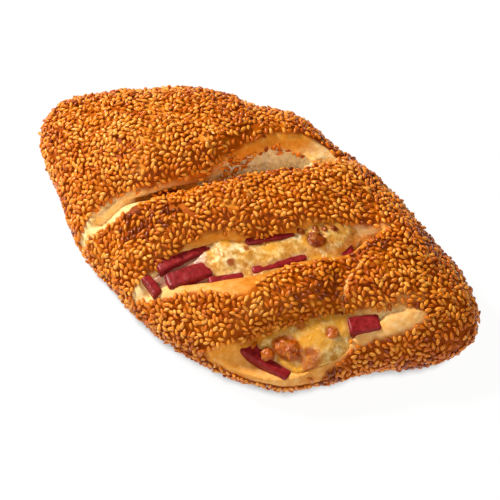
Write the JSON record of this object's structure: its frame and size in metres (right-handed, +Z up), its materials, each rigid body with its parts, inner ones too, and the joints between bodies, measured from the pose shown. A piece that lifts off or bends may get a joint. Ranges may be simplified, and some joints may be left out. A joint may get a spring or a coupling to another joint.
{
  "type": "filled sesame bread",
  "caption": "Rhomb-shaped baked loaf covered in sesame seeds, slashed across the crown so that melted cheese and salami sticks show in the openings.",
  "frame": {"origin": "middle of the loaf's footprint, on the surface that it lies on", "axes": "+Z up, +X along the long diagonal towards the sharper tip, -Y towards the side where the near slash opens"},
  "size_m": [0.2186, 0.1287, 0.0455],
  "materials": {
    "crust": "golden baked crust under toasted sesame seeds",
    "cheese": "melted cheese with browned blisters",
    "salami": "moist cut salami"
  },
  "bodies": {
    "root": {"bread": "crust", "cheese": "cheese", "salami_far_slash": "salami", "salami_upper": "salami", "salami_lower": "salami", "salami_corner": "salami", "salami_lip_left": "salami", "salami_lip_right": "salami", "salami_far_lip": "salami", "salami_chunk": "salami", "salami_flank": "salami", "salami_near_slash": "salami"}
  },
  "joints": []
}
